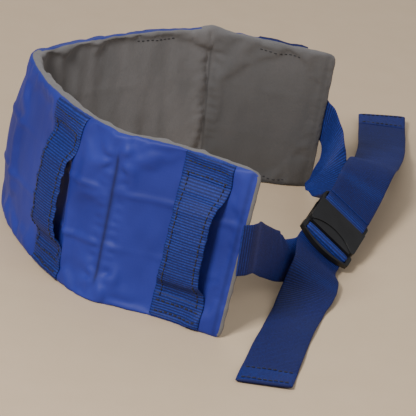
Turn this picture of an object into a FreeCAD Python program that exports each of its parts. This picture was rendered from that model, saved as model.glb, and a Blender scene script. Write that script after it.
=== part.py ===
"""Padded gait belt: three quilted panels, four webbing handles and a side-release buckle.

Millimetres, +Z up. The belt stands on its lower edge as a loop. The origin is on the floor at the
middle of the fold at the belt's left side, +X runs across the loop to the buckle and -Y is the side
that carries the front handles.
"""
import FreeCAD, Part

import math
import os
from collections import namedtuple

import Sketcher
from FreeCAD import Placement, Rotation, Vector

DIMENSIONS = {
    # padded panels
    "belt_height": 156.4,
    "panel_thickness": 14,
    "cover_thickness": 1.2,
    "lining_thickness": 1.6,
    "layer_gap": 0.1,
    "front_seam_gap": 4,
    "back_seam_gap": 2.5,
    "seam_thread_radius": 0.8,
    "seam_end_margin": 22,
    "front_wing_length": 126,
    "front_arm_length": 196,
    "back_arm_length": 216,
    "back_wing_length": 111,
    "fold_radius": 23.4,
    # webbing
    "webbing_width": 50,
    "webbing_thickness": 1.6,
    "strap_middle": 78,
    "strap_stub": 3,
    # handles
    "handle_end_distance": 46,
    "handle_seam_distance": 67,
    "grip_width": 38,
    "grip_lift": 12.5,
    "grip_low": 51,
    "grip_high": 105,
    "handle_end_bow": 24,
    "tab_lift": 2.6,
    "tab_edge": 3,
    "grip_end_gap": 0.5,
    "grip_crown": 1.5,
    "tab_row_one": 9,
    "tab_row_two": 15,
    # stitches
    "stitch_length": 3,
    "stitch_radius": 0.35,
    "stitch_pitch": 4.6,
    "edge_stitch_inset": 7,
    "hem_row_one": 4,
    "hem_row_two": 27,
    "row_end_inset": 4,
    # side-release buckle
    "housing_width": 56,
    "housing_length": 36,
    "housing_thickness": 11,
    "mouth_depth": 10,
    "cavity_half_width": 21.5,
    "cavity_height": 7,
    "window_start": 17,
    "cavity_end": 32.5,
    "bar_frame_length": 16,
    "bar_thickness": 6,
    "slot_length": 4.5,
    "slot_width": 51.4,
    "corner_radius": 4,
    "male_width": 59,
    "male_thickness": 5,
    "male_shoulder": 0.6,
    "male_shoulder_length": 2,
    "male_shoulder_thickness": 9.5,
    "bow_rise": 8.5,
    "bow_start": 14.5,
    "bow_thickness": 3.2,
    "inner_bar_distance": 8.4,
    "inner_bar_radius": 2.6,
    "guide_length": 26,
    "guide_width": 8,
    "prong_thickness": 6,
    "prong_pivot_x": 8.6,
    "prong_pivot_y": 16.3,
    "prong_arm_width": 4.6,
    "prong_tip": 29,
    "prong_pad": 27,
    "barb_reach": 24,
    "barb_clearance": 0.6,
    # straps
    "wrap_clearance": 0.4,
    "bow_layer_drop": 4.3,
    "layer_step": 2.5,
    "strap_cut_gap": 0.8,
}

doc = FreeCAD.newDocument("gait_belt")
sheet = doc.addObject("Spreadsheet::Sheet", "Dimensions")
for row, (alias, number) in enumerate(DIMENSIONS.items(), start=1):
    sheet.set(f"A{row}", alias)
    sheet.set(f"B{row}", str(number))
    sheet.setAlias(f"B{row}", alias)
doc.recompute()


def size(alias):
    """A driving dimension's number, read from the sheet."""
    return float(sheet.get(alias))


# ---------------------------------------------------------------- the belt's plan

# An arc of the belt's plan at floor level: it starts at a point with a heading and turns evenly.
Run = namedtuple("Run", "start heading length turn")
# A place along a panel: floor point at mid-thickness, lean of the top edge, and outward normal.
Station = namedtuple("Station", "floor lean out")

# Headings and turns in degrees: the fold's heading points towards the back panel, and each turn is
# how much a run bends on its way from the fold to the belt's end.
FOLD_HEADING = 76
FOLD_TURN_BACK = -25.4
FOLD_TURN_FRONT = 25.9
BACK_ARM_TURN = -25.5
FRONT_ARM_TURN = 36.4
FRONT_SEAM_TURN = 39.1
BACK_SEAM_TURN = -19.5
FRONT_WING_TURN = -29.7
BACK_WING_TURN = -4
# How far the top edge stands out from the bottom edge at each place along the belt.
FRONT_END_LEAN = Vector(15, 16, 0)
FRONT_SEAM_LEAN = Vector(8, 26, 0)
FOLD_LEAN = Vector(9, 6, 0)
BACK_SEAM_LEAN = Vector(-8, -3, 0)
BACK_END_LEAN = Vector(5, -34, 0)
STATION_PITCH = 6.5           # distance between neighbouring sections of panels and straps
HANDLE_STEPS = 8             # sections along a handle grip and along each of its bows


def run_at(run, distance):
    """The floor point and heading at a distance along a run."""
    turned = math.radians(run.turn) * distance / run.length
    heading = math.radians(run.heading)
    if abs(run.turn) < 1e-6:
        ahead = Vector(math.cos(heading), math.sin(heading), 0)
        return run.start + ahead * distance, run.heading
    radius = run.length / math.radians(run.turn)
    sideways = Vector(math.sin(heading + turned) - math.sin(heading),
                      math.cos(heading) - math.cos(heading + turned), 0)
    return run.start + sideways * radius, run.heading + math.degrees(turned)


def next_run(run, length, turn, bend=0):
    """The run that follows another, after a sharp bend at the joint between them."""
    start, heading = run_at(run, run.length)
    return Run(start, heading + bend, length, turn)


def outward(heading, side):
    """The horizontal unit vector to one side of a heading: +1 is left, -1 is right."""
    angle = math.radians(heading + 90 * side)
    return Vector(math.cos(angle), math.sin(angle), 0)


def run_stations(runs, lean_start, lean_end, side, trim_start=0, trim_end=0):
    """Evenly spaced stations along a chain of runs, with the lean shared out by length."""
    total = sum(run.length for run in runs)
    stations = []
    walked = 0
    for run in runs:
        low = trim_start if run is runs[0] else 0
        high = run.length - (trim_end if run is runs[-1] else 0)
        steps = max(2, round((high - low) / STATION_PITCH))
        for step in range(steps + 1):
            if step == 0 and stations:
                continue
            distance = low + (high - low) * step / steps
            floor, heading = run_at(run, distance)
            share = (walked + distance) / total
            lean = lean_start * (1 - share) + lean_end * share
            stations.append(Station(floor, lean, outward(heading, side)))
        walked += run.length
    return stations


def plan_runs():
    """The runs of each half of the belt, walked away from the middle of the fold."""
    quarter = size("fold_radius") * math.pi / 180
    back_fold = Run(Vector(0, 0, 0), FOLD_HEADING, quarter * abs(FOLD_TURN_BACK), FOLD_TURN_BACK)
    back_arm = next_run(back_fold, size("back_arm_length"), BACK_ARM_TURN)
    back_wing = next_run(back_arm, size("back_wing_length"), BACK_WING_TURN, BACK_SEAM_TURN)
    front_fold = Run(Vector(0, 0, 0), FOLD_HEADING + 180, quarter * FOLD_TURN_FRONT, FOLD_TURN_FRONT)
    front_arm = next_run(front_fold, size("front_arm_length"), FRONT_ARM_TURN)
    front_wing = next_run(front_arm, size("front_wing_length"), FRONT_WING_TURN, FRONT_SEAM_TURN)
    return back_fold, back_arm, back_wing, front_fold, front_arm, front_wing


back_fold, back_arm, back_wing, front_fold, front_arm, front_wing = plan_runs()
front_gap = size("front_seam_gap")
back_gap = size("back_seam_gap")
centre_stations = (
    run_stations([front_fold, front_arm], FOLD_LEAN, FRONT_SEAM_LEAN, -1, 0, front_gap)[:0:-1]
    + run_stations([back_fold, back_arm], FOLD_LEAN, BACK_SEAM_LEAN, 1, 0, back_gap))
front_stations = run_stations([front_wing], FRONT_SEAM_LEAN, FRONT_END_LEAN, -1, front_gap)
back_stations = run_stations([back_wing], BACK_SEAM_LEAN, BACK_END_LEAN, 1, back_gap)


def panel_point(station, level, depth):
    """A point of a panel: level is the height, depth is measured inwards from the outer face."""
    height = size("belt_height")
    return (station.floor + station.lean * (level / height)
            + station.out * (size("panel_thickness") / 2 - depth) + Vector(0, 0, level))


# ---------------------------------------------------------------- shape helpers

def quad(corners):
    return Part.makePolygon(corners + corners[:1])


def ruled_solid(sections):
    """A closed solid through four-cornered sections."""
    return Part.makeLoft([quad(corners) for corners in sections], True, True)


def faceted_solid(sections):
    """The same with flat three-cornered faces, which also holds for sections that turn and twist."""
    triangles = []
    sides = ((0, 1), (3, 2), (1, 2), (0, 3))
    for here, after in zip(sections, sections[1:]):
        for corner, beside in sides:
            triangles.append([here[corner], here[beside], after[beside]])
            triangles.append([here[corner], after[beside], after[corner]])
    for section in (sections[0], sections[-1]):
        triangles.append([section[0], section[1], section[2]])
        triangles.append([section[0], section[2], section[3]])
    shell = Part.Shell([Part.Face(Part.makePolygon(corners + corners[:1])) for corners in triangles])
    shell.sewShape()
    solid = Part.Solid(shell)
    if solid.Volume < 0:
        solid.reverse()
    return solid


def feature(label, shape):
    """A named sub-part whose shape is set directly."""
    part = doc.addObject("Part::Feature", label)
    part.Shape = shape
    part.Placement = Placement()
    part.Label = label
    return part


def panel_layer(stations, low, high, depth_from, depth_to):
    """One layer of a panel between two levels and two depths."""
    return ruled_solid([[panel_point(station, low, depth_from), panel_point(station, high, depth_from),
                         panel_point(station, high, depth_to), panel_point(station, low, depth_to)]
                        for station in stations])


def ribbon(centres, across, width, thickness, leave=None):
    """A strip of webbing: one centre point and one width direction for each section.

    A direction to leave in sets how the first section is cut.
    """
    sections = []
    for index, centre in enumerate(centres):
        before = centres[max(0, index - 1)]
        after = centres[min(len(centres) - 1, index + 1)]
        along = leave if leave and index == 0 else (after - before).normalize()
        side = across[index] * (width / 2)
        normal = along.cross(side).normalize() * (thickness / 2)
        sections.append([centre - side - normal, centre + side - normal,
                         centre + side + normal, centre - side + normal])
    return faceted_solid(sections)


def blend_points(low, high, low_mark, high_mark, mark):
    """The point that lies between two others as a mark lies between their marks."""
    return (low * (high_mark - mark) + high * (mark - low_mark)) * (1 / (high_mark - low_mark))


def curve_point(points, share):
    """A point between the middle two of four points, on a centripetal Catmull-Rom curve."""
    marks = [0]
    for before, after in zip(points, points[1:]):
        marks.append(marks[-1] + math.sqrt((after - before).Length))
    mark = marks[1] * (1 - share) + marks[2] * share
    first = [blend_points(points[i], points[i + 1], marks[i], marks[i + 1], mark) for i in range(3)]
    second = [blend_points(first[i], first[i + 1], marks[i], marks[i + 2], mark) for i in range(2)]
    return blend_points(second[0], second[1], marks[1], marks[2], mark)


def strap_shape(keys, leave=None):
    """A strap through key sections (centre, width direction), filled in along a smooth curve."""
    points = [centre for centre, side in keys]
    first_step = points[1] - points[0]
    before = points[0] - (leave * first_step.Length if leave else first_step)
    points = [before] + points + [points[-1] * 2 - points[-2]]
    centres = []
    across = []
    for index in range(len(keys) - 1):
        span = points[index:index + 4]
        steps = max(1, round((span[2] - span[1]).Length / STATION_PITCH))
        last = index == len(keys) - 2
        for step in range(steps + (1 if last else 0)):
            share = step / steps
            centres.append(curve_point(span, share))
            eased = share * share * (3 - 2 * share)
            side = keys[index][1] * (1 - eased) + keys[index + 1][1] * eased
            across.append(side.normalize())
    return ribbon(centres, across, size("webbing_width"), size("webbing_thickness"), leave)


def stitch_line(start, end, count):
    """A row of straight stitches, evenly spaced from one point to another."""
    direction = (end - start).normalize()
    length = size("stitch_length")
    radius = size("stitch_radius")
    stitches = []
    for index in range(count):
        middle = start + (end - start) * ((index + 0.5) / count)
        stitches.append(Part.makeCylinder(radius, length, middle - direction * (length / 2), direction))
    return stitches


def stitch_count(start, end):
    return max(2, int((end - start).Length / size("stitch_pitch")))


def floor_block():
    """A block below floor level: cutting with it leaves a true plane for the belt to stand on."""
    reach = 1000
    depth = 50
    return Part.makeBox(reach, reach, depth, Vector(-reach / 2, -reach / 2, -depth))


# ---------------------------------------------------------------- padded panels

def make_panel(name, stations):
    """Cover, foam, stiffening strap and lining of one panel, from the outside in."""
    height = size("belt_height")
    thickness = size("panel_thickness")
    gap = size("layer_gap")
    cover = size("cover_thickness")
    lining = size("lining_thickness")
    webbing = size("webbing_thickness")
    strap_low = size("strap_middle") - size("webbing_width") / 2
    strap_high = size("strap_middle") + size("webbing_width") / 2
    strap_from = cover + gap
    foam_from = strap_from + webbing + gap
    foam_to = thickness - lining - gap

    feature(name + "_cover", panel_layer(stations, lining + gap, height - lining - gap, 0, cover))
    feature(name + "_foam", panel_layer(stations, lining + gap, height - lining - gap, foam_from, foam_to))
    feature(name + "_core_strap",
            panel_layer(stations, strap_low, strap_high, strap_from, strap_from + webbing))
    back = panel_layer(stations, -lining, height, thickness - lining, thickness)
    top_lip = panel_layer(stations, height - lining, height, 0, thickness - lining)
    bottom_lip = panel_layer(stations, -lining, lining, 0, thickness - lining)
    channel = back.fuse([top_lip, bottom_lip])
    feature(name + "_lining", channel.cut(floor_block()))


def make_seam_thread(name, run_before, lean):
    """The quilting thread that joins two panels: the axis on which the wing folds."""
    seam_point, heading = run_at(run_before, run_before.length)
    height = size("belt_height")
    margin = size("seam_end_margin")
    axis = (lean + Vector(0, 0, height)).normalize()
    thread = doc.addObject("Part::Cylinder", name)
    thread.Label = name
    thread.setExpression("Radius", "Dimensions.seam_thread_radius")
    thread.setExpression("Height", "Dimensions.belt_height - 2 * Dimensions.seam_end_margin")
    thread.Placement = Placement(seam_point + axis * margin, Rotation(Vector(0, 0, 1), axis))


def make_end_stitching(name, stations, depth):
    """The row of stitches that closes a padded end, just proud of one face."""
    inset = size("edge_stitch_inset")
    end = stations[-1]
    inner = stations[-3]
    share = inset / (end.floor - inner.floor).Length
    row = []
    for level in (inset, size("belt_height") - inset):
        at_end = panel_point(end, level, depth)
        further_in = panel_point(inner, level, depth)
        row.append(at_end + (further_in - at_end) * share)
    feature(name, Part.makeCompound(stitch_line(row[0], row[1], stitch_count(row[0], row[1]))))


# ---------------------------------------------------------------- handles

def handle_edges(run, distance, lean_start, lean_end, side, run_from=0, total=None):
    """The stations under the two long edges of a handle, at a distance along a run."""
    edges = []
    for offset in (-size("webbing_width") / 2, size("webbing_width") / 2):
        floor, heading = run_at(run, distance + offset)
        share = (run_from + distance + offset) / (total or run.length)
        lean = lean_start * (1 - share) + lean_end * share
        edges.append(Station(floor, lean, outward(heading, side)))
    return edges


def handle_place(edges, level, lift):
    """A point lifted off a handle's middle line, and the direction across the handle there."""
    height = size("belt_height")
    first, second = [panel_point(station, level, 0) for station in edges]
    across = (second - first).normalize()
    up = (edges[0].lean + edges[1].lean + Vector(0, 0, 2 * height)).normalize()
    out = across.cross(up).normalize()
    if out.dot(edges[0].out) < 0:
        out = -out
    return (first + second) * 0.5 + out * lift, across


def handle_strip(edges, profile, width):
    """A strip of a handle: the profile lists (height, lift off the panel) of its middle line."""
    places = [handle_place(edges, level, lift) for level, lift in profile]
    centres = [centre for centre, across in places]
    return ribbon(centres, [across for centre, across in places], width, size("webbing_thickness"))


def handle_end_profile(flat_from, flat_to, bow_to):
    """The flat tab and the bow that leads from it out to the grip."""
    tab = size("tab_lift")
    grip = size("grip_lift")
    profile = [(flat_from, tab), ((flat_from + flat_to) / 2, tab)]
    for step in range(HANDLE_STEPS + 1):
        share = step / HANDLE_STEPS
        eased = share * share * (3 - 2 * share)
        profile.append((flat_to * (1 - share) + bow_to * share, tab + (grip - tab) * eased))
    return profile


def grip_profile():
    """The free middle of a handle, slightly crowned."""
    low = size("grip_low") + size("grip_end_gap")
    high = size("grip_high") - size("grip_end_gap")
    profile = []
    for step in range(HANDLE_STEPS + 1):
        share = step / HANDLE_STEPS
        lift = size("grip_lift") + size("grip_crown") * math.sin(math.pi * share)
        profile.append((low + (high - low) * share, lift))
    return profile


def handle_stitches(edges):
    """Two rows of stitches across each sewn end of a handle."""
    height = size("belt_height")
    lift = size("tab_lift") + size("webbing_thickness") / 2 + size("stitch_radius") + 3 * size("layer_gap")
    reach = size("webbing_width") / 2 - size("row_end_inset")
    stitches = []
    for inset in (size("tab_row_one"), size("tab_row_two")):
        for level in (inset, height - inset):
            middle, across = handle_place(edges, level, lift)
            start = middle - across * reach
            end = middle + across * reach
            stitches += stitch_line(start, end, stitch_count(start, end))
    return Part.makeCompound(stitches)


def make_handle(name, edges):
    """One handle: two sewn ends, the free grip between them and the stitching of both tabs."""
    height = size("belt_height")
    low = size("grip_low")
    high = size("grip_high")
    bow = size("handle_end_bow")
    upper = handle_end_profile(height - size("tab_edge"), high + bow, high + size("grip_end_gap"))
    lower = handle_end_profile(size("tab_edge"), low - bow, low - size("grip_end_gap"))
    feature(name + "_upper_end", handle_strip(edges, upper, size("webbing_width")))
    feature(name + "_lower_end", handle_strip(edges, lower, size("webbing_width")))
    feature(name + "_grip", handle_strip(edges, grip_profile(), size("grip_width")))
    feature(name + "_stitching", handle_stitches(edges))


def handle_list():
    """Two handles near the belt's ends and two on the centre panel, each a set distance from a seam."""
    end_distance = size("handle_end_distance")
    seam_distance = size("handle_seam_distance")
    front_total = front_fold.length + front_arm.length
    back_total = back_fold.length + back_arm.length
    return {
        "front_end_handle": handle_edges(
            front_wing, front_wing.length - end_distance, FRONT_SEAM_LEAN, FRONT_END_LEAN, -1),
        "front_side_handle": handle_edges(
            front_arm, front_arm.length - seam_distance, FOLD_LEAN, FRONT_SEAM_LEAN, -1,
            front_fold.length, front_total),
        "back_side_handle": handle_edges(
            back_arm, back_arm.length - seam_distance, FOLD_LEAN, BACK_SEAM_LEAN, 1,
            back_fold.length, back_total),
        "back_end_handle": handle_edges(
            back_wing, back_wing.length - end_distance, BACK_SEAM_LEAN, BACK_END_LEAN, 1),
    }


# ---------------------------------------------------------------- buckle

# The buckle's frame: x runs from the male half into the housing, y to its left, z is its upper face.
BUCKLE_PLACEMENT = Placement(Vector(305, -28.1, 27.3), Rotation(73.5, -9.8, 35.3))


def buckle_point(x, y, z):
    return BUCKLE_PLACEMENT.multVec(Vector(x, y, z))


def buckle_direction(x, y, z):
    return BUCKLE_PLACEMENT.Rotation.multVec(Vector(x, y, z))


def new_sketch(body, plane_role, name):
    """A sketch on one of a body's own origin planes."""
    plane = next(item for item in body.Origin.OriginFeatures if item.Role == plane_role)
    sketch = body.newObject("Sketcher::SketchObject", body.Name + "_" + name)
    sketch.AttachmentSupport = [(plane, "")]
    sketch.MapMode = "FlatFace"
    return sketch


def draw_outline(sketch, edges):
    """Adds a closed chain of edges and ties each end to the next start."""
    first = sketch.GeometryCount
    for edge in edges:
        sketch.addGeometry(edge, False)
    ends = [(edge.StartPoint, edge.EndPoint) for edge in edges]
    count = len(edges)
    for index in range(count):
        here = ends[index]
        after = ends[(index + 1) % count]
        here_position = 1 if (here[0] - after[0]).Length < 1e-6 or (here[0] - after[1]).Length < 1e-6 else 2
        meeting = here[here_position - 1]
        after_position = 1 if (after[0] - meeting).Length < 1e-6 else 2
        sketch.addConstraint(Sketcher.Constraint(
            "Coincident", first + index, here_position, first + (index + 1) % count, after_position))


def polygon_edges(corners):
    """Straight edges between (x, y) corners; a corner given as ("arc", x, y) is an arc's middle."""
    edges = []
    total = len(corners)
    for index, corner in enumerate(corners):
        if corner[0] == "arc":
            continue
        following = corners[(index + 1) % total]
        if following[0] == "arc":
            start = Vector(*corner, 0)
            middle = Vector(following[1], following[2], 0)
            end = Vector(*corners[(index + 2) % total], 0)
            if (middle - start).cross(end - middle).z < 0:
                start, end = end, start
            edges.append(Part.Arc(start, middle, end))
        else:
            edges.append(Part.LineSegment(Vector(*corner, 0), Vector(*following, 0)))
    return edges


def rectangle(x_low, x_high, half_width):
    return polygon_edges([
        (x_low, -half_width), (x_high, -half_width), (x_high, half_width), (x_low, half_width)])


def symmetric_feature(body, kind, sketch, name, length_expression):
    """A pad or pocket that reaches the same distance to both sides of its sketch."""
    shape = body.newObject("PartDesign::" + kind, body.Name + "_" + name)
    shape.Profile = sketch
    shape.SideType = "Symmetric"
    shape.setExpression("Length", length_expression)
    sketch.Visibility = False
    doc.recompute()
    return shape


def pocket(body, sketch, name, length_expression):
    """A symmetric pocket that is checked to have removed material."""
    before = body.Shape.Volume
    result = symmetric_feature(body, "Pocket", sketch, name, length_expression)
    assert body.Shape.Volume < before - 1, name + " cut nothing"
    return result


def new_body(label):
    body = doc.addObject("PartDesign::Body", label)
    body.Label = label
    return body


def make_female_housing():
    """The housing that the prongs snap into, with two bars for the back strap."""
    body = new_body("female_housing")
    half = size("housing_width") / 2
    length = size("housing_length")
    corner = size("corner_radius")
    mouth = size("mouth_depth")
    bevel = corner * (1 - math.sqrt(0.5))
    shell = new_sketch(body, "XY_Plane", "shell_outline")
    draw_outline(shell, polygon_edges([
        (0, half - corner), ("arc", mouth, 0), (0, corner - half), ("arc", bevel, bevel - half),
        (corner, -half), (length, -half), (length, half), (corner, half), ("arc", bevel, half - bevel)]))
    symmetric_feature(body, "Pad", shell, "shell", "Dimensions.housing_thickness")

    cavity_half = size("cavity_half_width")
    window = size("window_start")
    end = size("cavity_end")
    outside = half + 1
    cavity = new_sketch(body, "XY_Plane", "cavity_outline")
    draw_outline(cavity, polygon_edges([
        (-1, -cavity_half), (window, -cavity_half), (window, -outside), (end, -outside),
        (end, outside), (window, outside), (window, cavity_half), (-1, cavity_half)]))
    pocket(body, cavity, "cavity", "Dimensions.cavity_height")

    frame_end = length + size("bar_frame_length")
    frame = new_sketch(body, "XY_Plane", "bar_frame_outline")
    draw_outline(frame, polygon_edges([
        (length - 1, -half), (frame_end - corner, -half), ("arc", frame_end - bevel, bevel - half),
        (frame_end, corner - half), (frame_end, half - corner),
        ("arc", frame_end - bevel, half - bevel), (frame_end - corner, half), (length - 1, half)]))
    symmetric_feature(body, "Pad", frame, "bar_frame", "Dimensions.bar_thickness")

    slots = new_sketch(body, "XY_Plane", "slot_outlines")
    slot = size("slot_length")
    slot_half = size("slot_width") / 2
    for start in (length, length + 2 * slot):
        draw_outline(slots, rectangle(start, start + slot, slot_half))
    pocket(body, slots, "slots", "Dimensions.bar_thickness + 2")
    body.Placement = BUCKLE_PLACEMENT


def make_male_frame():
    """The male half's frame: shoulder, guide tongue, inner bar and the bowed outer bar."""
    body = new_body("male_frame")
    half = size("male_width") / 2
    shoulder = -size("male_shoulder")
    corner = size("corner_radius")
    bevel = corner * (1 - math.sqrt(0.5))
    bow_start = -size("bow_start")
    bow_tip = bow_start - size("bow_rise")
    opening_half = size("slot_width") / 2
    outline = new_sketch(body, "XY_Plane", "frame_outline")
    draw_outline(outline, polygon_edges([
        (shoulder, half - corner), (shoulder, corner - half),
        ("arc", shoulder - bevel, bevel - half), (shoulder - corner, -half),
        (bow_start, -half), ("arc", bow_tip, 0), (bow_start, half),
        (shoulder - corner, half), ("arc", shoulder - bevel, half - bevel)]))
    symmetric_feature(body, "Pad", outline, "frame", "Dimensions.male_thickness")

    shoulder_back = shoulder - size("male_shoulder_length")
    opening = new_sketch(body, "XY_Plane", "opening_outline")
    draw_outline(opening, polygon_edges([
        (shoulder_back, -opening_half), (shoulder_back, opening_half), (bow_start, opening_half),
        ("arc", bow_tip + size("bow_thickness"), 0), (bow_start, -opening_half)]))
    pocket(body, opening, "opening", "Dimensions.male_thickness + 2")

    block = new_sketch(body, "XY_Plane", "shoulder_outline")
    block_half = size("housing_width") / 2 - corner
    draw_outline(block, polygon_edges([
        (shoulder_back, block_half), (shoulder_back, -block_half), (shoulder, -block_half),
        ("arc", size("mouth_depth") + shoulder, 0), (shoulder, block_half)]))
    symmetric_feature(body, "Pad", block, "shoulder", "Dimensions.male_shoulder_thickness")

    bar = new_sketch(body, "XZ_Plane", "inner_bar_outline")
    bar.addGeometry(Part.Circle(Vector(-size("inner_bar_distance"), 0, 0), Vector(0, 0, 1),
                                size("inner_bar_radius")), False)
    bar.addConstraint(Sketcher.Constraint("Radius", 0, size("inner_bar_radius")))
    bar.setExpression("Constraints[0]", "Dimensions.inner_bar_radius")
    symmetric_feature(body, "Pad", bar, "inner_bar", "Dimensions.slot_width + 2")

    guide = new_sketch(body, "XY_Plane", "guide_outline")
    guide_half = size("guide_width") / 2
    guide_end = size("guide_length")
    draw_outline(guide, polygon_edges([
        (shoulder - 1, -guide_half), (guide_end - guide_half, -guide_half), ("arc", guide_end, 0),
        (guide_end - guide_half, guide_half), (shoulder - 1, guide_half)]))
    symmetric_feature(body, "Pad", guide, "guide", "Dimensions.male_thickness")
    body.Placement = BUCKLE_PLACEMENT


def make_prong(label, side):
    """A spring prong: round root, slim arm, barb and the pad that is squeezed in the window."""
    body = new_body(label)
    pivot_x = size("prong_pivot_x")
    pivot_y = size("prong_pivot_y")
    half = size("prong_arm_width") / 2
    barb_x = size("window_start") + size("barb_clearance")
    tip = size("prong_tip")
    outline = new_sketch(body, "XY_Plane", "outline")
    corners = [
        (pivot_x, pivot_y - half), (tip - 2, pivot_y - half), ("arc", tip, pivot_y + half),
        (tip - 1, size("prong_pad") - 1), ("arc", (tip + barb_x) / 2, size("prong_pad")),
        (barb_x, size("barb_reach")), (barb_x, pivot_y + half + 1),
        (pivot_x, pivot_y + half), ("arc", pivot_x - half, pivot_y)]
    mirrored = [("arc", corner[1], corner[2] * side) if corner[0] == "arc" else (corner[0], corner[1] * side)
                for corner in corners]
    draw_outline(outline, polygon_edges(mirrored))
    symmetric_feature(body, "Pad", outline, "blank", "Dimensions.prong_thickness")
    body.Placement = BUCKLE_PLACEMENT


# ---------------------------------------------------------------- straps

def bar_wrap(bar_x, radius, front, last_angle=90):
    """Key sections around a bar, from below it to above it, past its front (+1) or rear (-1) side."""
    right = buckle_direction(0, -1, 0)
    keys = []
    for angle in range(-90, last_angle + 1, 30):
        x = bar_x + front * radius * math.cos(math.radians(angle))
        z = radius * math.sin(math.radians(angle))
        keys.append((buckle_point(x, 0, z), right))
    return keys


def buckle_keys(places):
    """Key sections of a strap at (x, z) places in the buckle's frame."""
    right = buckle_direction(0, -1, 0)
    return [(buckle_point(x, 0, z), right) for x, z in places]


BAR_LAYER = 1.5              # height of the webbing's middle over the housing's bars


def wing_end(run, lean):
    """The middle of the load strap just past a padded end, and the direction out of that end."""
    floor, heading = run_at(run, run.length)
    ahead = outward(heading - 90, 1)
    level = size("strap_middle")
    end = floor + lean * (level / size("belt_height")) + Vector(0, 0, level)
    return end + ahead * size("strap_stub"), ahead


def front_cut():
    """Where the front strap ends and its free tail starts, past the bow bar: x and z in the buckle."""
    return -size("bow_start") - size("bow_rise") - 4, -size("bow_layer_drop")


def back_cut():
    """Where the back strap ends and its free tail starts, past the housing's bars."""
    bars_end = size("housing_length") + size("bar_frame_length")
    return bars_end + 0.5, size("bar_thickness") / 2 + BAR_LAYER


def make_front_strap():
    """From the front end of the belt to the male half, round its inner bar and out again."""
    start, leave = wing_end(front_wing, FRONT_END_LEAN)
    down = Vector(0, 0, -1)
    drop = size("bow_layer_drop")
    low = -drop - size("layer_step")
    bar_x = -size("inner_bar_distance")
    wrap = size("inner_bar_radius") + size("webbing_thickness") / 2 + size("wrap_clearance")
    keys = [
        (start, down),
        (start + Vector(7, 8, -1), down),
        (Vector(238, -165, 68), Vector(0, -0.1, -1)),
        (Vector(257, -105, 37), Vector(0.08, -0.1, -1)),
        (Vector(269, -76.3, 24), Vector(0.42, 0, -0.9)),
        (Vector(282, -61, 17.4), Vector(0.76, -0.12, -0.64)),
    ]
    bow_x = -size("bow_start")
    keys += buckle_keys([(bar_x - 16, low), (bar_x - 11, low), (bar_x - 5.3, low + 0.7)])
    keys += bar_wrap(bar_x, wrap, 1, 150)
    keys += buckle_keys([(bar_x - wrap - 0.3, -1.4), (bow_x + 0.4, 0.5 - drop)])
    keys += buckle_keys([(bow_x - 3, -drop), (bow_x - 7, -drop), front_cut()])
    feature("front_strap", strap_shape(keys, leave))


def make_front_tail():
    """The free end of the front strap: it leaves the male half and lies on the floor."""
    cut_x, cut_z = front_cut()
    keys = buckle_keys([(cut_x - size("strap_cut_gap"), cut_z)]) + [
        (Vector(296, -84, 18), Vector(0.87, -0.2, -0.40)),
        (Vector(290, -114, 7.5), Vector(0.98, -0.05, -0.1)),
        (Vector(283, -145, 2.2), Vector(0.97, 0.2, 0)),
        (Vector(273, -195, 1.8), Vector(0.97, 0.2, 0)),
        (Vector(265, -245, 1.6), Vector(1, 0.1, 0)),
        (Vector(258, -293, 1.6), Vector(1, 0, 0)),
    ]
    feature("front_tail", strap_shape(keys, buckle_direction(-1, 0, 0)))
    make_hem_stitching("front_hem_stitching", keys[-1], keys[-2])


def make_back_strap():
    """From the back end of the belt to the housing, up through its slot and over its bars."""
    start, leave = wing_end(back_wing, BACK_END_LEAN)
    up = (BACK_END_LEAN + Vector(0, 0, size("belt_height"))).normalize()
    keys = [
        (start, up),
        (start + Vector(6, -8, -10), Vector(0.2, -0.15, 0.97)),
        (Vector(297, 108, 51), Vector(0.54, 0.13, 0.83)),
        (Vector(297.5, 92, 40), Vector(0.74, 0.5, 0.38)),
        (Vector(309, 63, 33.5), Vector(0.97, 0.1, 0.1)),
    ]
    cut_x, above = back_cut()
    bar_x = size("housing_length") + size("slot_length") + BAR_LAYER
    keys += buckle_keys([(bar_x + 12, -above - 1.5), (bar_x + 5, -above - 0.5)])
    keys += bar_wrap(bar_x, above, -1)
    keys += buckle_keys([(bar_x + 8, above), (cut_x, above)])
    feature("back_strap", strap_shape(keys, leave))


def make_back_tail():
    """The free end of the back strap: it rises over the housing's bars and runs down to the floor."""
    cut_x, cut_z = back_cut()
    keys = buckle_keys([(cut_x + size("strap_cut_gap"), cut_z)]) + [
        (Vector(340, 100, 50), Vector(0.95, 0.1, -0.25)),
        (Vector(349, 155, 34), Vector(0.97, 0.2, -0.1)),
        (Vector(355, 220, 20), Vector(0.98, 0.15, -0.05)),
        (Vector(357, 275, 9), Vector(0.99, 0.1, 0)),
        (Vector(357, 345, 6), Vector(0.99, 0.08, 0.02)),
    ]
    feature("back_tail", strap_shape(keys, buckle_direction(1, 0, 0)))
    make_hem_stitching("back_hem_stitching", keys[-1], keys[-2])


def make_hem_stitching(name, last, previous):
    """Two rows of stitches across a strap, near its end and a hem's length further in."""
    end, across = last
    inward = (previous[0] - end).normalize()
    side = (across - inward * across.dot(inward)).normalize()
    normal = side.cross(inward)
    if normal.z < 0:
        normal = -normal
    lift = size("webbing_thickness") / 2 + size("stitch_radius") + 2 * size("layer_gap")
    reach = size("webbing_width") / 2 - size("row_end_inset")
    stitches = []
    for distance in (size("hem_row_one"), size("hem_row_two")):
        middle = end + inward * distance + normal * lift
        row_start = middle - side * reach
        row_end = middle + side * reach
        stitches += stitch_line(row_start, row_end, stitch_count(row_start, row_end))
    feature(name, Part.makeCompound(stitches))


# ---------------------------------------------------------------- build and export

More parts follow.
